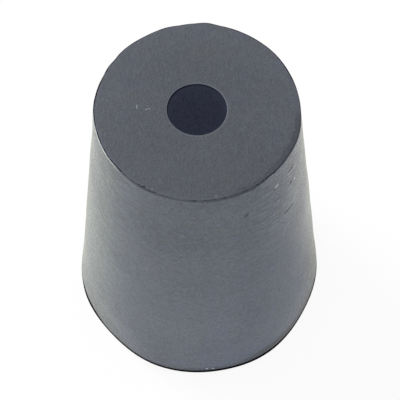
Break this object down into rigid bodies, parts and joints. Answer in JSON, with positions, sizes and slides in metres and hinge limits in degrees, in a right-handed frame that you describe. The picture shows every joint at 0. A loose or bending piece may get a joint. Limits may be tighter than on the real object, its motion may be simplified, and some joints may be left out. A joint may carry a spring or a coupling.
{
  "type": "rubber stopper",
  "caption": "Tapered round rubber stopper with a straight bore through its axis; plugs a flask or test-tube neck and grips a glass tube.",
  "frame": {"origin": "centre of the flat large end, on the surface that the stopper stands on", "axes": "+Z along the axis, from the large end to the small end; X and Y are free, because the stopper is round"},
  "size_m": [0.0188, 0.0188, 0.025],
  "materials": {
    "black_rubber": "matte, with a fine ground taper"
  },
  "bodies": {
    "root": {"stopper": "black_rubber"}
  },
  "joints": []
}
